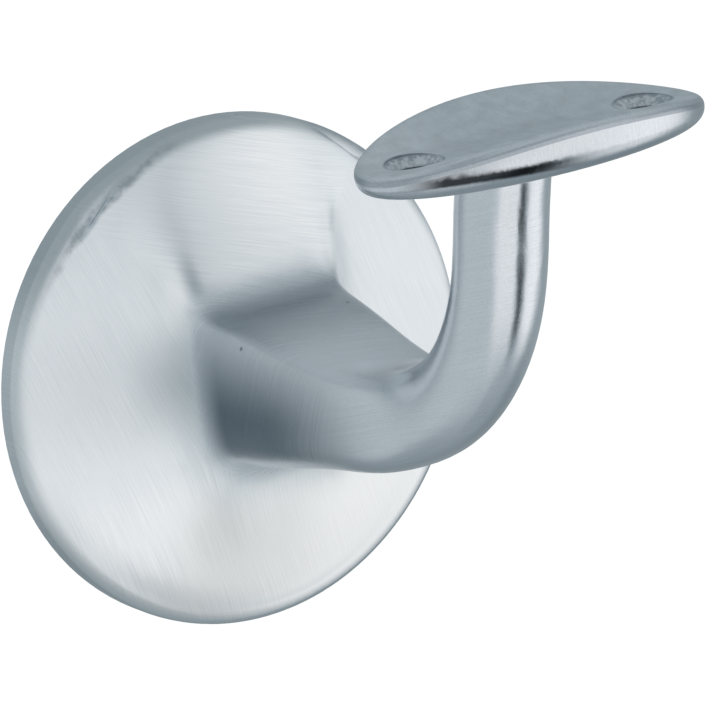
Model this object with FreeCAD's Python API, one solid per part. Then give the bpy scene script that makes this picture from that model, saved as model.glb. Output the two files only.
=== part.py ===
"""Cast aluminium handrail bracket: a round rosette, a square neck flaring out of it, a round arm
bending up and an oval saddle under the rail, all one casting.

Millimetres, +Z up, X along the rail. The origin is the middle of the rosette's back, on the wall
plane y = 0, and the bracket stands out from the wall towards -Y.
"""

import FreeCAD
import Part

import math
import os

# Rosette: the round foot against the wall.
ROSETTE_RADIUS = 35.0
RIM_DEPTH = 4.6
RIM_ROUND = 2.0
RIM_BACK_BREAK = 0.4
FACE_OVERRUN = 0.6

# Cored back of the rosette, with the boss that takes the wall stud.
SEAT_RING_WIDTH = 4.5
CORE_DEPTH_AT_RING = 1.6
CORE_DEPTH_AT_BOSS = 5.0
BOSS_RADIUS = 9.0
STUD_RADIUS = 5.0
STUD_BORE_DEPTH = 22.0
STUD_BORE_TIP_DEG = 118.0

# Neck: square where the flare ends, turning round on its way to the arm.
NECK_HALF_SIDE = 11.6
NECK_START = 15.0
NECK_AXIS_Z = 0.8
NECK_ROOT_Z = 1.1
NECK_SQUARENESS = 8.0
UNDERSIDE_SOFTNESS = 0.75

# Arm: round, bent up short of a right angle, so that it leans out a little.
ARM_RADIUS = 6.1
BEND_START = 40.0
BEND_RADIUS = 35.5
BEND_ANGLE_DEG = 76.0

# Saddle: oval plate with a trough for the rail.
SADDLE_HALF_LENGTH = 24.8
SADDLE_HALF_WIDTH = 13.8
ARM_INSET = 1.03
SADDLE_UNDERSIDE_Z = 42.5
SADDLE_THICKNESS = 3.2
SADDLE_LIP_ROUND = 1.3
RAIL_RADIUS = 25.0
RAIL_CLEARANCE = 0.4
ARM_FILLET = 1.0

# Nose of the saddle's edge, seen in section: how wide and how high it is rounded underneath, at the
# two ends and along the two sides.
END_NOSE_WIDTH = 2.2
END_NOSE_HEIGHT = 1.8
SIDE_NOSE_WIDTH = 3.2
SIDE_NOSE_HEIGHT = 3.8
NOSE_TURNS_DEG = (0, 22.5, 45, 67.5, 90)
WALL_STEPS = (0.5, 1.0)

# Rail screws, put in from below.
SCREW_HALF_SPACING = 17.2
SCREW_RADIUS = 2.25
FUNNEL_RADIUS = 3.8
FUNNEL_DEPTH = 1.2
SINK_RADIUS = 3.1

# The flare: share of its depth, shares of its spread at the sides, above and below, and how far it is
# on the way from round to square.
FLARE_STEPS = (
    (0.00, 1.00, 1.00, 1.00, 0.00),
    (0.10, 0.70, 0.93, 0.84, 0.05),
    (0.23, 0.42, 0.81, 0.66, 0.15),
    (0.42, 0.18, 0.55, 0.38, 0.42),
    (0.72, 0.04, 0.20, 0.12, 0.84),
    (1.00, 0.00, 0.00, 0.00, 1.00),
)

# The neck and the bend: share of the way along, shares of the way from the neck's size to the arm's,
# as width and as height, and how square it still is.
NECK_STEPS = ((0.20, 0.12, 0.20, 0.97), (0.55, 0.30, 0.46, 0.90), (0.85, 0.48, 0.68, 0.78))
BEND_STEPS = (
    (0.10, 0.66, 0.82, 0.50),
    (0.25, 0.86, 0.93, 0.15),
    (0.45, 0.98, 0.98, 0.00),
    (0.65, 1.00, 1.00, 0.00),
    (0.85, 1.00, 1.00, 0.00),
)

# Power of the section curve that makes a circle, and how many points each curve runs through.
ROUND = 2.0
SECTION_POINTS = 48

# How near an edge must lie to a size to count as being on it.
NEAR = 0.05


def vec(x, y, z):
    return FreeCAD.Vector(x, y, z)


def mix(a, b, share):
    return a + (b - a) * share


def smooth_loop(points):
    """A smooth closed wire through the points, with evenly spaced knots, as the lofts need."""
    curve = Part.BSplineCurve()
    knots = [i / SECTION_POINTS for i in range(SECTION_POINTS + 1)]
    curve.interpolate(Points=points, PeriodicFlag=True, Parameters=knots)
    return Part.Wire([curve.toShape()])


def section(centre, up, half_width, above, below, square):
    """A closed curve round centre, from a circle (square 0) to a square, softer on the underside."""
    side = vec(1, 0, 0)
    top_power = mix(ROUND, NECK_SQUARENESS, square)
    under_power = mix(ROUND, top_power, 1 - UNDERSIDE_SOFTNESS)
    points = []
    for i in range(SECTION_POINTS):
        angle = 2 * math.pi * i / SECTION_POINTS
        c = math.cos(angle)
        s = math.sin(angle)
        power = top_power if s > 0 else under_power
        half_height = above if s > 0 else below
        reach = (abs(c / half_width) ** power + abs(s / half_height) ** power) ** (-1 / power)
        points.append(centre + side * (reach * c) + up * (reach * s))
    return smooth_loop(points)


def arm_point(angle_deg):
    """Point of the arm's centre line inside the bend, and the direction across it."""
    a = math.radians(angle_deg)
    y = -BEND_START - BEND_RADIUS * math.sin(a)
    z = NECK_AXIS_Z + BEND_RADIUS * (1 - math.cos(a))
    return vec(0, y, z), vec(0, math.sin(a), math.cos(a))


def flare_sections():
    """The face of the rosette, begun a little outside the rim, which trims it."""
    face_radius = ROSETTE_RADIUS + FACE_OVERRUN
    wires = []
    for deep, sides, high, low, square in FLARE_STEPS:
        centre = vec(0, -mix(RIM_DEPTH, NECK_START, deep), NECK_ROOT_Z * deep)
        half_width = mix(NECK_HALF_SIDE, face_radius, sides)
        above = mix(NECK_HALF_SIDE, face_radius, high)
        below = mix(NECK_HALF_SIDE, face_radius, low)
        wires.append(section(centre, vec(0, 0, 1), half_width, above, below, square))
    return wires


def neck_sections():
    wires = []
    for along, narrow, low, square in NECK_STEPS:
        centre = vec(0, -mix(NECK_START, BEND_START, along), mix(NECK_ROOT_Z, NECK_AXIS_Z, along))
        half_width = mix(NECK_HALF_SIDE, ARM_RADIUS, narrow)
        half_height = mix(NECK_HALF_SIDE, ARM_RADIUS, low)
        wires.append(section(centre, vec(0, 0, 1), half_width, half_height, half_height, square))
    return wires


def arm_sections():
    wires = []
    for along, narrow, low, square in BEND_STEPS:
        centre, up = arm_point(BEND_ANGLE_DEG * along)
        half_width = mix(NECK_HALF_SIDE, ARM_RADIUS, narrow)
        half_height = mix(NECK_HALF_SIDE, ARM_RADIUS, low)
        wires.append(section(centre, up, half_width, half_height, half_height, square))
    end, up = arm_point(BEND_ANGLE_DEG)
    wires.append(section(end, up, ARM_RADIUS, ARM_RADIUS, ARM_RADIUS, 0))
    top = arm_axis_at(SADDLE_UNDERSIDE_Z + SADDLE_THICKNESS / 2)
    wires.append(section(mix(end, top, 0.5), up, ARM_RADIUS, ARM_RADIUS, ARM_RADIUS, 0))
    wires.append(section(top, up, ARM_RADIUS, ARM_RADIUS, ARM_RADIUS, 0))
    return wires


def arm_axis_at(height):
    """Point of the straight end of the arm's centre line at a height above the origin."""
    end, up = arm_point(BEND_ANGLE_DEG)
    lean = math.radians(90 - BEND_ANGLE_DEG)
    return end + vec(0, -math.tan(lean), 1) * (height - end.z)


def saddle_y():
    """Where the middle of the saddle lies, with the arm's back just inside the saddle's back edge."""
    return arm_axis_at(SADDLE_UNDERSIDE_Z).y + ARM_RADIUS + ARM_INSET - SADDLE_HALF_WIDTH


def body():
    """Flare, neck and arm as one skin."""
    return Part.makeLoft(flare_sections() + neck_sections() + arm_sections(), True, False)


def revolved(outline):
    """Solid of revolution about the Y axis from a closed outline."""
    wire = Part.Wire(outline)
    return Part.Face(wire).revolve(vec(0, 0, 0), vec(0, 1, 0), 360)


def line(a, b):
    return Part.makeLine(vec(a[0], -a[1], 0), vec(b[0], -b[1], 0))


def polyline(points):
    return [line(a, b) for a, b in zip(points, points[1:])]


def rosette_blank():
    """The plate behind the face, oversize, for the rim to be turned on."""
    radius = ROSETTE_RADIUS + 2 * FACE_OVERRUN
    return Part.makeCylinder(radius, RIM_DEPTH, vec(0, 0, 0), vec(0, -1, 0))


def turned_rim(solid):
    """Trim the rosette round, round the rim over at the front and break its back edge."""
    reach = 2 * RIM_DEPTH
    out = vec(0, -1, 0)
    waste = Part.makeCylinder(2 * ROSETTE_RADIUS, reach, vec(0, 0, 0), out)
    waste = waste.cut(Part.makeCylinder(ROSETTE_RADIUS, reach, vec(0, 0, 0), out))
    solid = solid.cut(waste).removeSplitter()
    front = [e for e in round_rim(solid) if e.BoundBox.YMax < -RIM_DEPTH / 2]
    solid = solid.makeFillet(RIM_ROUND, front)
    back = [e for e in round_rim(solid) if e.BoundBox.YMin > -NEAR]
    return solid.makeChamfer(RIM_BACK_BREAK, back)


def round_rim(solid):
    """Edges that run right round the rim."""
    return [e for e in solid.Edges if e.BoundBox.XLength > 2 * (ROSETTE_RADIUS - NEAR)]


def back_core():
    """The hollow behind the face, a ring round the boss."""
    ring = ROSETTE_RADIUS - SEAT_RING_WIDTH
    points = [(BOSS_RADIUS, 0), (ring, 0), (ring, CORE_DEPTH_AT_RING), (BOSS_RADIUS, CORE_DEPTH_AT_BOSS),
              (BOSS_RADIUS, 0)]
    return revolved(polyline(points))


def stud_bore():
    """Blind bore for the wall stud, with its drill tip."""
    out = vec(0, -1, 0)
    bore = Part.makeCylinder(STUD_RADIUS, STUD_BORE_DEPTH, vec(0, 0, 0), out)
    tip_length = STUD_RADIUS / math.tan(math.radians(STUD_BORE_TIP_DEG / 2))
    tip = Part.makeCone(STUD_RADIUS, 0, tip_length, vec(0, -STUD_BORE_DEPTH, 0), out)
    return bore.fuse(tip)


def oval(turn_deg, rise):
    """A level of the saddle's outer skin: how far round the nose it is, and how high above that."""
    inward = 1 - math.sin(math.radians(turn_deg))
    upward = 1 - math.cos(math.radians(turn_deg))
    half_length = SADDLE_HALF_LENGTH - END_NOSE_WIDTH * inward
    half_width = SADDLE_HALF_WIDTH - SIDE_NOSE_WIDTH * inward
    points = []
    for i in range(SECTION_POINTS):
        angle = 2 * math.pi * i / SECTION_POINTS
        c = math.cos(angle)
        s = math.sin(angle)
        nose = END_NOSE_HEIGHT * c * c + SIDE_NOSE_HEIGHT * s * s
        z = mix(nose * upward, saddle_top(), rise)
        points.append(vec(half_length * c, saddle_y() + half_width * s, SADDLE_UNDERSIDE_Z + z))
    return smooth_loop(points)


def saddle_top():
    """Height of the uncut blank above the saddle's underside, clear of the trough's edges."""
    return SADDLE_THICKNESS + SADDLE_HALF_WIDTH / 2


def saddle():
    """Oval with a rounded nose all round, hollowed for the rail."""
    levels = [oval(turn, 0) for turn in NOSE_TURNS_DEG]
    levels += [oval(NOSE_TURNS_DEG[-1], rise) for rise in WALL_STEPS]
    blank = Part.makeLoft(levels, True, False)
    seat_radius = RAIL_RADIUS + RAIL_CLEARANCE
    reach = 2 * SADDLE_HALF_LENGTH
    axis_z = SADDLE_UNDERSIDE_Z + SADDLE_THICKNESS + seat_radius
    rail = Part.makeCylinder(seat_radius, 2 * reach, vec(-reach, saddle_y(), axis_z), vec(1, 0, 0))
    blank = blank.cut(rail)
    lip = [e for e in blank.Edges if e.BoundBox.ZMin > SADDLE_UNDERSIDE_Z + END_NOSE_HEIGHT
           and e.BoundBox.XLength > SADDLE_HALF_LENGTH]
    return blank.makeFillet(SADDLE_LIP_ROUND, lip)


def screw_holes():
    """Holes for the rail screws: funnel above, through hole, countersink below."""
    tools = []
    for side in (-1, 1):
        foot = vec(side * SCREW_HALF_SPACING, saddle_y(), SADDLE_UNDERSIDE_Z)
        up = vec(0, 0, 1)
        tools.append(Part.makeCylinder(SCREW_RADIUS, SADDLE_THICKNESS, foot, up))
        sink = SINK_RADIUS - SCREW_RADIUS
        tools.append(Part.makeCone(SINK_RADIUS, SCREW_RADIUS, sink, foot, up))
        brim = foot + up * (SADDLE_THICKNESS - FUNNEL_DEPTH)
        tools.append(Part.makeCone(SCREW_RADIUS, FUNNEL_RADIUS, FUNNEL_DEPTH, brim, up))
        tools.append(Part.makeCylinder(FUNNEL_RADIUS, FUNNEL_DEPTH, foot + up * SADDLE_THICKNESS, up))
    return tools


def under_saddle(edge):
    """Whether the edge is where the arm meets the saddle's underside."""
    box = edge.BoundBox
    low = abs(box.ZMin - SADDLE_UNDERSIDE_Z) < NEAR and box.ZMax < SADDLE_UNDERSIDE_Z + SIDE_NOSE_HEIGHT
    no_wider = box.XLength < 2 * (ARM_RADIUS + NEAR)
    return low and no_wider and box.Center.y > saddle_y() + ARM_INSET / 2


def bracket():
    solid = rosette_blank().fuse([body(), saddle()]).removeSplitter()
    solid = turned_rim(solid)
    solid = solid.makeFillet(ARM_FILLET, [e for e in solid.Edges if under_saddle(e)])
    solid = solid.cut([back_core(), stud_bore()] + screw_holes())
    return solid


os.makedirs("parts", exist_ok=True)
bracket().exportStep("parts/bracket_casting.step")
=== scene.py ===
"""Looks of the handrail bracket: satin aluminium, camera, floor and studio light."""

import math
from collections import namedtuple

import bpy
from mathutils import Matrix, Vector

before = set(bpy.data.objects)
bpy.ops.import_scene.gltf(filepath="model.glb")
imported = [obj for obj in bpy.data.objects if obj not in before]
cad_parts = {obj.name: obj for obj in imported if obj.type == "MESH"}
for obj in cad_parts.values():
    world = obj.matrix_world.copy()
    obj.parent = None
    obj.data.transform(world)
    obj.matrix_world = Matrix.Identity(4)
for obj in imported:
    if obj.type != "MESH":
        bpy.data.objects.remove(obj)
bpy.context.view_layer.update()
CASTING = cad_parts["bracket_casting"]

DEGREES = 180.0 / math.pi
WHITE = (1.0, 1.0, 1.0, 1.0)

# A Step goes smoothly from low at start to high at full. A Bell is 1 at its centre and falls
# smoothly to 0 a reach away on both sides. Both name the value that they are taken of.
Step = namedtuple("Step", "of start full low high", defaults=(0.0, 1.0))
Bell = namedtuple("Bell", "of centre reach")

# Camera, in metres in the bracket's frame, at the photograph's angle.
CAMERA_AT = (-0.510822, -0.912328, 0.287276)
CAMERA_RIGHT = (0.84234, -0.52676, -0.11399)
CAMERA_UP = (0.23477, 0.16825, 0.95738)
CAMERA_LENS = 406.2
CAMERA_SENSOR = 36.0
CAMERA_CLIP = (0.05, 50.0)

# Floor, and the lamp that only it takes.
FLOOR_Z = -0.13
FLOOR_HALF = 8.0
FLOOR_COLOUR = (0.85, 0.85, 0.85, 1.0)
FLOOR_GLOW = 0.8
LAMP_ENERGY = 2.6
LAMP_SPREAD = 25.0
LAMP_LEAN = (-12.0, -8.0)

# Middles of the rail screw holes, either side of the saddle's middle.
HOLE_X = 0.0172
HOLE_Y = -0.0848

# Belt marks: the way across them and along them, and how close they are each way, per metre.
# The disc's are steep, but level on its top lobe.
Marks = namedtuple("Marks", "across along fine coarse")
MARKS = {
    "disc_steep": Marks((0.944, 0.0, 0.33), (0.33, 0.0, -0.944), 6500.0, 90.0),
    "disc_level": Marks((0.31, 0.0, 0.951), (0.951, 0.0, -0.31), 6500.0, 90.0),
    "neck": Marks((0.34, 0.87, 0.36), (0.6, -0.5, -0.6), 5500.0, 110.0),
    "arm": Marks((0.0, 0.25, 0.97), (0.97, 0.0, 0.0), 5200.0, 320.0),
    "saddle": Marks((0.99, 0.0, 0.10), (0.0, 0.4, 0.9), 5200.0, 320.0),
}
MARKS_DETAIL = 5.0
MARKS_ROUGHNESS = 0.65
MARKS_IN_POLISH = 0.55

# Noises: scale per metre, detail and roughness.
NOISES = {
    "grain": (3600.0, 3.0, 0.6),
    "cloud": (70.0, 4.0, 0.5),
    "blotch": (380.0, 4.0, 0.6),
    "ragged": (700.0, 4.0, 0.7),
    "broken": (420.0, 3.0, 0.6),
    "mottle": (1300.0, 4.0, 0.7),
}

# Painted dark reflection along the saddle's lower turn: the facing where it lies, which changes
# with x.
LINE_FACING = 0.50
LINE_SLANT = 16.0

# Fold left on the rim: how far out it is, more towards its upper end, and how ragged.
FOLD_RADIUS = 0.0334
FOLD_OUTWARD = Step("turn", 120.0, 92.0, 0.0, 0.0013)
FOLD_RAGGED = 0.0010

PIT_CELLS = 115.0

# Patches of the casting, each the product of its fades. x, y and z are the place in metres, and
# ny and nz the way the surface faces; measures() makes the other values.
PATCHES = {
    # Its parts.
    "back": (Step("ny", 0.15, 0.6), Step("y", -0.012, -0.008)),
    "disc": (Step("y", -0.0145, -0.0115),),
    "neck": (Step("y", -0.046, -0.034),),
    "saddle": (Step("z", 0.0415, 0.0435),),
    "seat": (Step("nz", 0.80, 0.90),),
    "top_lobe": (Step("rise", 0.003, 0.006),),
    "rim": (Step("radius", 0.0328, 0.0344),),
    "hole": (Step("from_hole", 0.0039, 0.0036),),
    "brim": (Bell("from_hole", 0.0038, 0.00035),),
    # Painted shade in the bore of each screw hole.
    "bore_shade": (Step("from_hole", 0.00245, 0.00225),),

    # Painted shade at the root of the neck, darkest low on its sides, and in the hollow of the
    # elbow.
    "cheeks": (Step("sideways", 0.55, 0.95), Step("z", 0.0108, -0.0015, 0.15, 1.0),
               Step("nz", -0.85, -0.55), Step("y", -0.053, -0.026),
               Step("y", -0.0118, -0.0180, 0.0, 0.97)),
    "roof": (Step("nz", 0.5, 0.95), Step("y", -0.036, -0.020),
             Step("y", -0.0105, -0.0150, 0.0, 0.54)),
    "hollow": (Bell("y", -0.0475, 0.0065), Bell("z", 0.0085, 0.0045), Bell("x", 0.0, 0.0085)),

    # The saddle's edge: painted shade on its lip, on its lower turn and near its ends leaves a
    # bright band between them, as a painted reflection would; the lip is also partly duller as
    # cast.
    "lip": (Step("nz", 0.0, 0.16, 0.0, 0.60), Step("nz", 0.70, 0.42)),
    "lower_turn": (Step("nz", -0.20, -0.34), Step("nz", -0.97, -0.70, 0.35, 1.0),
                   Step("x", 0.012, -0.004, 0.25, 0.60)),
    "left_turn": (Bell("x", -0.0165, 0.0065), Step("ny", -0.25, -0.6, 0.0, 0.40)),
    "right_tip": (Step("x", 0.0150, 0.0225, 0.0, 0.50),),
    # Painted dark reflection line along the saddle's lower turn, on its front left.
    "painted_reflection_line": (Step("off_line", 0.24, 0.08), Step("x", 0.003, -0.010),
                  Step("x", -0.0235, -0.0185), Step("ny", -0.25, -0.6)),

    # Tones of the disc and the neck, most of them painted light and shade.
    # Painted shade: the disc darker on its left, upper left and right sides.
    "left_side": (Step("x", -0.004, -0.020, 0.0, 0.58), Step("z", -0.020, -0.006, 0.3, 1.0)),
    "upper_left": (Step("z", 0.012, 0.024), Step("x", 0.006, -0.006, 0.0, 0.55)),
    "right_side": (Step("x", 0.008, 0.020, 0.0, 0.6),),
    # Painted light: the disc's bottom lighter.
    "lit_bottom": (Step("z", -0.009, -0.018), Step("x", -0.022, -0.008)),
    # Painted shade on the disc's flank left of the neck's root.
    "shaded_flank": (Bell("x", -0.0142, 0.0070), Bell("z", 0.0030, 0.0105)),
    # Painted highlight on the disc by the neck's upper left corner.
    "painted_highlight": (Bell("x", -0.0128, 0.0022), Bell("z", 0.0136, 0.0062)),
    # Painted shade in the crease by the neck's upper left corner.
    "shaded_crease": (Bell("x", -0.0102, 0.0019), Bell("z", 0.0158, 0.0062),
               Step("y", -0.0142, -0.0126)),
    # Painted shade on the face just inside the rim, at its lower left.
    "inner_rim_shade": (Step("radius", 0.0285, 0.0340), Step("z", -0.006, -0.016),
               Step("x", 0.004, -0.010)),
    # Painted shade on the rim band: strongest at its bottom, weaker at its top and least at its
    # sides.
    "rim_ends": (Step("off_level", 0.008, 0.022, 0.35, 1.0),),
    "rim_top": (Step("z", 0.0, 0.015, 0.0, 0.25),),
    # Painted shade on the downward faces of the neck and elbow.
    "shaded_underside": (Step("nz", -0.35, -0.80), Step("y", -0.026, -0.045)),
    "seat_right": (Step("x", -0.017, -0.005, 0.05, 0.5),),

    # Small marks.
    "fold": (Bell("off_fold", 0.0, 0.00085), Step("broken", 0.30, 0.62, 0.25, 1.0),
             Step("turn", 94.0, 112.0), Step("turn", 150.0, 134.0), Step("ny", -0.25, -0.75)),
    "pits": (Step("from_pit", 0.042, 0.022), Step("pit_draw", 0.50, 0.56)),
    "mottle": (Step("mottle", 0.38, 0.60),),
}

# Colour of the brushed metal from its darkest to its palest mark, and how far the cloud, the
# marks and, on the seat, the blotch move it between the two.
BRUSHED_DARK = (0.850, 0.885, 0.910)
BRUSHED_PALE = (0.965, 0.980, 0.990)
CLOUD_IN_SHADE = 0.5
MARKS_IN_SHADE = 3.2
BLOTCH_IN_SHADE = 2.4

# Fine light and dark on top of all tones: from the marks, off the disc and on it, and from the
# blotch where the surface is as cast.
MARKS_IN_FINE_OFF_DISC = 0.42
MARKS_IN_FINE_ON_DISC = 0.22
BLOTCH_IN_FINE = 0.45

# Tones laid over the brushed metal, in this order: patch, strength and colour.
LAYERS = (
    ("off_disc", 0.85, (0.62, 0.655, 0.70)),
    # Painted shade on the disc's left, upper left and right sides.
    ("sides", 1.0, (0.70, 0.75, 0.79)),
    # Painted light on the disc's bottom.
    ("lit_bottom", 0.75, (0.985, 0.99, 0.99)),
    # Painted shade on the flank left of the neck.
    ("shaded_flank", 0.66, (0.42, 0.47, 0.50)),
    # Painted highlight by the neck's upper left corner.
    ("painted_highlight", 0.90, (0.99, 0.995, 1.0)),
    # Painted shade in the crease by the neck's corner.
    ("shaded_crease", 0.66, (0.36, 0.42, 0.46)),
    # Painted shade on the undersides.
    ("shaded_underside", 0.62, (0.24, 0.29, 0.33)),
    ("seat_tone", 1.0, (0.55, 0.61, 0.64)),
    # Painted shade on the rim band.
    ("rim_shade", 1.0, (0.47, 0.52, 0.55)),
    # Painted shade just inside the rim.
    ("inner_rim_shade", 0.40, (0.47, 0.52, 0.55)),
    # Painted shade on the saddle's edge around its bright band.
    ("edge", 1.0, (0.25, 0.29, 0.33)),
    # Painted dark reflection on the saddle's lower turn.
    ("painted_reflection_line", 0.96, (0.015, 0.02, 0.025)),
    # Painted shade at the neck's root and in the elbow's hollow.
    ("root_shade", 1.0, (0.12, 0.16, 0.19)),
    ("fold", 0.62, (0.20, 0.25, 0.29)),
    ("pits", 0.75, (0.14, 0.17, 0.20)),
    ("hole", 0.85, "dish"),
    ("brim", 0.45, (0.22, 0.27, 0.31)),
    # Painted shade in the holes' bores.
    ("bore_shade", 0.85, (0.05, 0.06, 0.07)),
)
DISH_DARK = (0.36, 0.41, 0.45, 1.0)
DISH_PALE = (0.68, 0.72, 0.75, 1.0)
# How strong the painted shade in the elbow's hollow is.
HOLLOW_SHADE = 0.75

# Roughness: part, middle, swing and the noise or marks that it swings with.
ARM_ROUGH = (0.155, 0.05, "grain")
ROUGH = (
    ("neck", 0.25, 0.22, "neck_marks"),
    ("disc", 0.40, 0.14, "disc_marks"),
    ("saddle", 0.17, 0.08, "cloud"),
    ("seat", 0.32, 0.16, "blotch"),
    ("hole_or_fold", 0.48, 0.0, None),
    ("back", 0.40, 0.20, "blotch"),
)

# Relief, in bump distances.
POLISH_RELIEF = 1.6
BRUSHED_RELIEF = 1.0
HOLE_RELIEF = 6.0
PIT_RELIEF = 6.0
CAST_RELIEF = 1.6
BUMP_DISTANCE = 0.000006

ANISOTROPY = 0.8

# The studio, which the metal mirrors, in degrees round from the front and up from level. The gap
# is measured across its own lean.
STUDIO = {
    "front": (Step("azimuth", -64.0, -40.0), Step("azimuth", 74.0, 100.0, 1.0, 0.0)),
    "left": (Step("azimuth", -160.0, -130.0), Step("azimuth", -60.0, -42.0, 1.0, 0.0)),
    "right": (Step("azimuth", 10.0, 32.0),),
    "strip": (Bell("azimuth", 62.0, 36.0), Step("height", 4.0, -14.0)),
    "upper": (Step("azimuth", 30.0, 0.0), Step("height", -24.0, -12.0)),
    "upper_right": (Step("azimuth", 46.0, 72.0), Step("height", 2.0, 18.0)),
    "fall_left": (Step("height", -40.0, -88.0),),
    "fall_right": (Step("height", -46.0, -68.0),),
    "gap": (Step("across_gap", -17.0, -5.0), Step("across_gap", 27.0, 4.0),
            Step("height", -32.0, -39.0), Step("height", -74.0, -56.0)),
    "above": (Step("height", 20.0, 44.0),),
}
STUDIO_LEVEL = 0.43
STUDIO_ADDS = (("front", 0.60), ("left", 0.23), ("strip", 0.14), ("upper", -0.12),
               ("upper_right", -0.34))
GROUND_LEFT = 0.72
GROUND_RIGHT = 0.62
ABOVE_LEVEL = 0.55
DIM_TINT = (0.78, 1.0, 1.09, 1.0)
GAP_AZIMUTH = 15.0
GAP_HEIGHT = -36.0
GAP_LEAN = 0.55
GAP_DARK = 0.97


class Nodes:
    """A short way to make and join shader nodes."""

    def __init__(self, tree):
        self.tree = tree
        self.tree.nodes.clear()

    def add(self, kind, inputs=None, **settings):
        node = self.tree.nodes.new(kind)
        for key, value in settings.items():
            setattr(node, key, value)
        for key, value in (inputs or {}).items():
            if isinstance(value, bpy.types.NodeSocket):
                self.tree.links.new(value, node.inputs[key])
            else:
                node.inputs[key].default_value = value
        return node

    def math(self, operation, *values):
        node = self.add("ShaderNodeMath", dict(enumerate(values)), operation=operation)
        return node.outputs[0]

    def chain(self, operation, values):
        result = values[0]
        for value in values[1:]:
            result = self.math(operation, result, value)
        return result

    def product(self, *values):
        return self.chain("MULTIPLY", values)

    def total(self, *values):
        return self.chain("ADD", values)

    def largest(self, *values):
        return self.chain("MAXIMUM", values)

    def rest(self, value):
        """What is left of 1."""
        return self.math("SUBTRACT", 1.0, value)

    def length(self, a, b):
        return self.math("SQRT", self.total(self.product(a, a), self.product(b, b)))

    def centred(self, value, amount):
        """The value's swing about its middle, scaled."""
        return self.product(self.math("SUBTRACT", value, 0.5), amount)

    def step(self, value, start, full, low=0.0, high=1.0):
        inputs = {"Value": value, "From Min": start, "From Max": full,
                  "To Min": low, "To Max": high}
        return self.add("ShaderNodeMapRange", inputs, interpolation_type="SMOOTHSTEP").outputs[0]

    def bell(self, value, centre, reach):
        off = self.math("ABSOLUTE", self.math("SUBTRACT", value, centre))
        return self.step(off, 0.0, reach, 1.0, 0.0)

    def patches(self, table, values):
        """The product of the fades in each row of a table, by the row's name."""
        found = {}
        for name, fades in table.items():
            shares = []
            for fade in fades:
                make = self.bell if isinstance(fade, Bell) else self.step
                shares.append(make(values[fade.of], *fade[1:]))
            found[name] = self.product(*shares)
        return found

    def blend(self, share, a, b):
        """a where share is 0 and b where it is 1, for numbers."""
        return self.add("ShaderNodeMix", {0: share, 2: a, 3: b}, data_type="FLOAT").outputs[0]

    def blend_vector(self, share, a, b):
        return self.add("ShaderNodeMix", {0: share, 4: a, 5: b}, data_type="VECTOR").outputs[1]

    def tint(self, share, a, b):
        """a where share is 0 and b where it is 1, for colours."""
        return self.add("ShaderNodeMix", {0: share, 6: a, 7: b}, data_type="RGBA").outputs[2]

    def ramp(self, factor, start, end):
        node = self.add("ShaderNodeValToRGB", {"Fac": factor})
        for element, colour in zip(node.color_ramp.elements, (start, end)):
            element.color = (*colour, 1.0)
        return node.outputs["Color"]

    def split(self, vector):
        return self.add("ShaderNodeSeparateXYZ", {0: vector}).outputs

    def dot(self, vector, way):
        inputs = {0: vector, 1: way}
        return self.add("ShaderNodeVectorMath", inputs, operation="DOT_PRODUCT").outputs["Value"]

    def noise(self, place, scale, detail, roughness):
        inputs = {"Vector": place, "Scale": scale, "Detail": detail, "Roughness": roughness}
        return self.add("ShaderNodeTexNoise", inputs).outputs[0]

    def brush_lines(self, place, marks):
        """Noise drawn out along one way and fine across it, as a belt leaves it."""
        across = self.product(self.dot(place, marks.across), marks.fine)
        along = self.product(self.dot(place, marks.along), marks.coarse)
        drawn = self.add("ShaderNodeCombineXYZ", {0: across, 1: along, 2: 0.0}).outputs[0]
        return self.noise(drawn, 1.0, MARKS_DETAIL, MARKS_ROUGHNESS)

    def finish(self, kind, shader):
        """Joins the shader to the tree's output."""
        self.tree.links.new(shader.outputs[0], self.add(kind).inputs["Surface"])


def add_camera():
    data = bpy.data.cameras.new("camera")
    data.lens = CAMERA_LENS
    data.sensor_width = CAMERA_SENSOR
    data.clip_start, data.clip_end = CAMERA_CLIP
    obj = bpy.data.objects.new("camera", data)
    bpy.context.scene.collection.objects.link(obj)
    right = Vector(CAMERA_RIGHT).normalized()
    up = (Vector(CAMERA_UP) - Vector(CAMERA_UP).dot(right) * right).normalized()
    turn = Matrix((right, up, right.cross(up))).transposed().to_4x4()
    obj.matrix_world = Matrix.Translation(Vector(CAMERA_AT)) @ turn
    bpy.context.scene.camera = obj


def measures(n, place, facing, noises):
    """The values that the casting's patches are taken of."""
    x, y, z = n.split(place)
    nx, ny, nz = n.split(facing)
    values = {"x": x, "y": y, "z": z, "ny": ny, "nz": nz}
    side = n.math("ABSOLUTE", x)
    values["sideways"] = n.math("ABSOLUTE", nx)
    values["off_level"] = n.math("ABSOLUTE", z)
    values["rise"] = n.math("SUBTRACT", z, side)
    values["from_hole"] = n.length(n.math("SUBTRACT", side, HOLE_X), n.math("SUBTRACT", y, HOLE_Y))

    # Round the disc: from its middle in metres, and from the right in degrees.
    values["radius"] = n.length(x, z)
    values["turn"] = n.product(n.math("ARCTAN2", z, x), DEGREES)

    # Where the painted dark reflection line lies.
    line = n.total(nz, n.total(n.product(x, LINE_SLANT), LINE_FACING))
    values["off_line"] = n.math("ABSOLUTE", line)

    fold_radius = n.total(FOLD_RADIUS, n.step(values[FOLD_OUTWARD.of], *FOLD_OUTWARD[1:]))
    off_fold = n.math("SUBTRACT", values["radius"], fold_radius)
    values["off_fold"] = n.total(off_fold, n.centred(noises["ragged"], FOLD_RAGGED))
    values["broken"] = noises["broken"]
    values["mottle"] = noises["mottle"]

    cells = n.add("ShaderNodeTexVoronoi", {"Vector": place, "Scale": PIT_CELLS, "Randomness": 1.0})
    values["from_pit"] = cells.outputs["Distance"]
    values["pit_draw"] = n.split(cells.outputs["Color"])[0]
    return values


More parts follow.
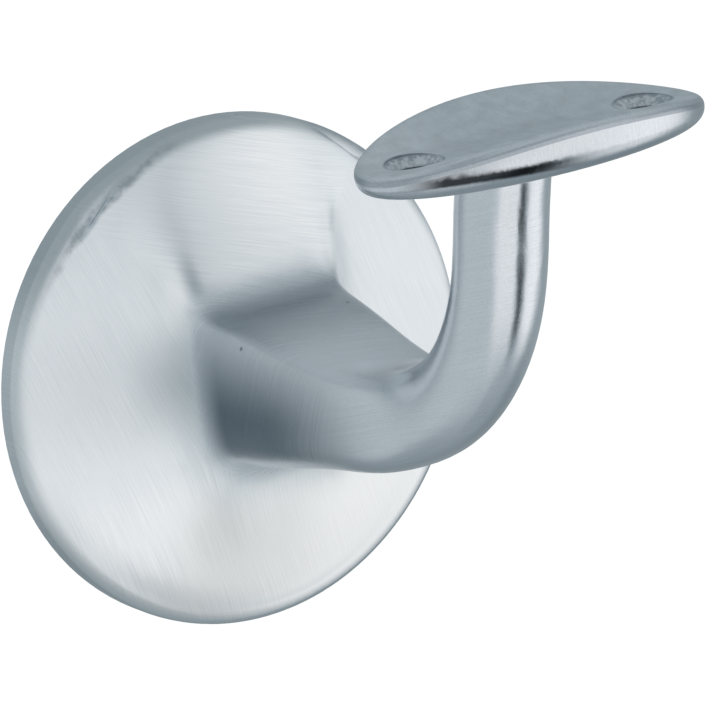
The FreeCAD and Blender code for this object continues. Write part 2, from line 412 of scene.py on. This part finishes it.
def casting_patches(n, values):
    """The patches of the casting, each kept to its own part."""
    on = n.patches(PATCHES, values)
    on["disc"] = n.product(on["disc"], n.rest(on["back"]))
    on["off_disc"] = n.rest(on["disc"])
    on["neck"] = n.product(on["neck"], on["off_disc"])
    for name in ("rim", "painted_highlight", "inner_rim_shade"):
        on[name] = n.product(on[name], on["disc"])
    for name in ("seat", "hole", "brim", "bore_shade", "painted_reflection_line"):
        on[name] = n.product(on[name], on["saddle"])
    on["as_cast"] = n.largest(on["seat"], on["back"])
    on["hole_or_fold"] = n.largest(on["hole"], on["fold"])

    # Painted shade on the disc's left, upper left and right sides.
    sides = n.total(n.largest(on["left_side"], on["upper_left"]), on["right_side"])
    on["sides"] = n.product(on["disc"], sides)
    # Painted light on the disc's bottom, kept off its rim.
    on["lit_bottom"] = n.product(on["lit_bottom"], n.math("SUBTRACT", on["disc"], on["rim"]))
    on["seat_tone"] = n.product(on["seat"], on["seat_right"])
    # Painted shade on the rim band, by how high or low it lies.
    on["rim_shade"] = n.product(on["rim"], n.math("SUBTRACT", on["rim_ends"], on["rim_top"]))
    # Painted shade on the saddle's edge: lip, lower turn and ends.
    edge = n.largest(on["lip"], on["lower_turn"], on["left_turn"], on["right_tip"])
    on["edge"] = n.product(edge, n.math("SUBTRACT", on["saddle"], on["seat"]))
    # Painted shade at the neck's root and in the elbow's hollow.
    root = n.total(on["cheeks"], on["roof"])
    on["root_shade"] = n.largest(root, n.product(on["hollow"], HOLLOW_SHADE))
    return on


def surface_noises(n, place):
    """The noises and belt marks of the casting."""
    noises = {name: n.noise(place, *settings) for name, settings in NOISES.items()}
    for name, marks in MARKS.items():
        noises[name + "_marks"] = n.brush_lines(place, marks)
    return noises


def join_marks(n, on, noises):
    """Adds the marks that cover more than one part."""
    noises["disc_marks"] = n.blend(on["top_lobe"], noises["disc_steep_marks"],
                                   noises["disc_level_marks"])
    lines = n.blend(on["saddle"], noises["arm_marks"], noises["saddle_marks"])
    noises["polish"] = n.blend(MARKS_IN_POLISH, noises["grain"], lines)
    off_disc = n.blend(on["neck"], noises["polish"], noises["neck_marks"])
    noises["marks"] = n.blend(on["disc"], off_disc, noises["disc_marks"])


def tone_of(n, on, noises):
    seat_blotch = n.product(n.centred(noises["blotch"], BLOTCH_IN_SHADE), on["seat"])
    shade = n.total(0.5, n.centred(noises["cloud"], CLOUD_IN_SHADE),
                    n.centred(noises["marks"], MARKS_IN_SHADE), seat_blotch)
    tone = n.ramp(shade, BRUSHED_DARK, BRUSHED_PALE)
    dish = n.tint(on["mottle"], DISH_DARK, DISH_PALE)
    for name, strength, colour in LAYERS:
        colour = dish if colour == "dish" else (*colour, 1.0)
        tone = n.tint(n.product(on[name], strength), tone, colour)

    swing = n.blend(on["disc"], MARKS_IN_FINE_OFF_DISC, MARKS_IN_FINE_ON_DISC)
    fine = n.total(1.0, n.product(n.centred(noises["marks"], 1.0), swing),
                   n.product(n.centred(noises["blotch"], BLOTCH_IN_FINE), on["as_cast"]))
    inputs = {0: tone, "Scale": fine}
    return n.add("ShaderNodeVectorMath", inputs, operation="SCALE").outputs[0]


def roughness_of(n, on, noises):
    middle, swing, noise = ARM_ROUGH
    rough = n.total(middle, n.centred(noises[noise], swing))
    for name, middle, swing, noise in ROUGH:
        part = n.total(middle, n.centred(noises[noise], swing)) if noise else middle
        rough = n.blend(on[name], rough, part)
    return rough


def relief_of(n, on, noises):
    relief = n.blend(on["disc"], n.centred(noises["polish"], POLISH_RELIEF),
                     n.centred(noises["disc_marks"], BRUSHED_RELIEF))
    relief = n.blend(on["neck"], relief, n.centred(noises["neck_marks"], BRUSHED_RELIEF))
    in_hole = n.product(n.centred(noises["blotch"], HOLE_RELIEF), on["hole_or_fold"])
    relief = n.math("SUBTRACT", n.total(relief, in_hole), n.product(on["pits"], PIT_RELIEF))
    return n.total(relief, n.product(n.centred(noises["blotch"], CAST_RELIEF), on["as_cast"]))


def satin_aluminium():
    mat = bpy.data.materials.new("satin_aluminium")
    mat.use_nodes = True
    n = Nodes(mat.node_tree)
    coords = n.add("ShaderNodeTexCoord").outputs
    place = coords["Object"]
    noises = surface_noises(n, place)
    on = casting_patches(n, measures(n, place, coords["Normal"], noises))
    join_marks(n, on, noises)

    bump = n.add("ShaderNodeBump", {"Height": relief_of(n, on, noises), "Strength": 1.0,
                                    "Distance": BUMP_DISTANCE})
    # The sheen spreads along the tangent, which runs across the marks.
    disc_tangent = n.blend_vector(on["top_lobe"], MARKS["disc_steep"].across,
                                  MARKS["disc_level"].across)
    tangent = n.blend_vector(on["disc"], MARKS["neck"].across, disc_tangent)
    shader = n.add("ShaderNodeBsdfPrincipled", {
        "Metallic": 1.0, "Roughness": roughness_of(n, on, noises),
        "Base Color": tone_of(n, on, noises), "Normal": bump.outputs[0],
        "Anisotropic": ANISOTROPY, "Tangent": tangent})
    n.finish("ShaderNodeOutputMaterial", shader)
    return mat


def add_world():
    """Studio round the object: pale in front, dimmer above and behind, one dark gap low in front.
    The camera sees plain white instead."""
    world = bpy.data.worlds.new("studio")
    bpy.context.scene.world = world
    world.use_nodes = True
    n = Nodes(world.node_tree)
    x, y, z = n.split(n.add("ShaderNodeTexCoord").outputs["Generated"])
    azimuth = n.product(n.math("ARCTAN2", x, n.product(y, -1.0)), DEGREES)
    height = n.product(n.math("ARCSINE", z), DEGREES)
    lean = n.product(n.math("SUBTRACT", GAP_HEIGHT, height), GAP_LEAN)
    across_gap = n.math("SUBTRACT", azimuth, n.total(lean, GAP_AZIMUTH))
    values = {"azimuth": azimuth, "height": height, "across_gap": across_gap}
    at = n.patches(STUDIO, values)
    at["upper"] = n.product(at["front"], at["upper"])
    at["upper_right"] = n.product(at["front"], at["upper_right"])

    level = STUDIO_LEVEL
    for name, amount in STUDIO_ADDS:
        level = n.total(level, n.product(at[name], amount))

    # Below, the light falls off towards the ground, sooner on the right.
    fall = n.blend(at["right"], at["fall_left"], at["fall_right"])
    level = n.blend(fall, level, n.blend(at["right"], GROUND_LEFT, GROUND_RIGHT))
    level = n.product(level, n.rest(n.product(at["gap"], GAP_DARK)))
    level = n.blend(at["above"], level, ABOVE_LEVEL)

    tint = n.tint(level, DIM_TINT, WHITE)
    studio = n.add("ShaderNodeBackground", {"Color": tint, "Strength": level})
    white = n.add("ShaderNodeBackground", {"Color": WHITE, "Strength": 1.0})
    path = n.add("ShaderNodeLightPath").outputs
    seen = n.largest(path["Is Camera Ray"], path["Is Transmission Ray"])
    mix = n.add("ShaderNodeMixShader", {0: seen, 1: studio.outputs[0], 2: white.outputs[0]})
    n.finish("ShaderNodeOutputWorld", mix)


def add_floor():
    """Pale floor that glows towards the camera, so that it is white and keeps the shadow."""
    mesh = bpy.data.meshes.new("floor")
    corners = [(-FLOOR_HALF, -FLOOR_HALF, FLOOR_Z), (FLOOR_HALF, -FLOOR_HALF, FLOOR_Z),
               (FLOOR_HALF, FLOOR_HALF, FLOOR_Z), (-FLOOR_HALF, FLOOR_HALF, FLOOR_Z)]
    mesh.from_pydata(corners, [], [(0, 1, 2, 3)])
    floor = bpy.data.objects.new("floor", mesh)
    bpy.context.scene.collection.objects.link(floor)
    mat = bpy.data.materials.new("floor")
    mat.use_nodes = True
    n = Nodes(mat.node_tree)
    matt = n.add("ShaderNodeBsdfDiffuse", {"Color": FLOOR_COLOUR})
    glow = n.add("ShaderNodeEmission", {"Color": WHITE, "Strength": 1.0})
    glow_share = n.product(n.add("ShaderNodeLightPath").outputs["Is Camera Ray"], FLOOR_GLOW)
    mix = n.add("ShaderNodeMixShader", {0: glow_share, 1: matt.outputs[0], 2: glow.outputs[0]})
    n.finish("ShaderNodeOutputMaterial", mix)
    mesh.materials.append(mat)
    floor.visible_glossy = False


def add_floor_light():
    """Soft light from above that the floor takes and the metal does not mirror."""
    data = bpy.data.lights.new("floor_light", "SUN")
    data.energy = LAMP_ENERGY
    data.angle = math.radians(LAMP_SPREAD)
    obj = bpy.data.objects.new("floor_light", data)
    bpy.context.scene.collection.objects.link(obj)
    obj.rotation_euler = (math.radians(LAMP_LEAN[0]), math.radians(LAMP_LEAN[1]), 0.0)
    obj.visible_glossy = False


add_camera()
metal = satin_aluminium()
for slot in CASTING.material_slots:
    slot.material = metal
add_world()
add_floor()
add_floor_light()

bpy.context.scene.view_settings.view_transform = "Standard"
